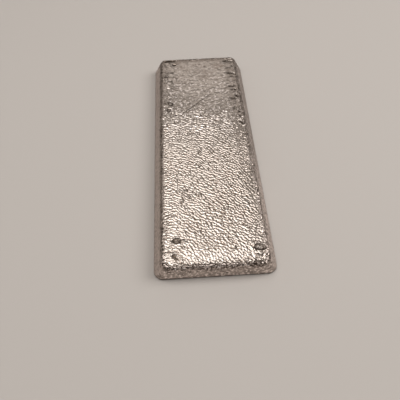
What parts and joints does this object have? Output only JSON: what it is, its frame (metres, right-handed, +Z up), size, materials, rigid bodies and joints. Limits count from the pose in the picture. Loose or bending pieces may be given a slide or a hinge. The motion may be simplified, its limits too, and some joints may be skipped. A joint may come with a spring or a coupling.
{
  "type": "fusible alloy ingot",
  "caption": "Long flat cast bar of fusible alloy with sloping walls, rounded corners and a wrinkled, pitted upper face.",
  "frame": {"origin": "middle of the pour face, the wide flat face that the ingot lies on", "axes": "+Y along the ingot from its front end to its back end, +X to its right, +Z up through its thickness to the narrower mould-bottom face"},
  "size_m": [0.052, 0.14, 0.0085],
  "materials": {
    "cast_alloy": "satin"
  },
  "bodies": {
    "root": {"ingot": "cast_alloy"}
  },
  "joints": []
}
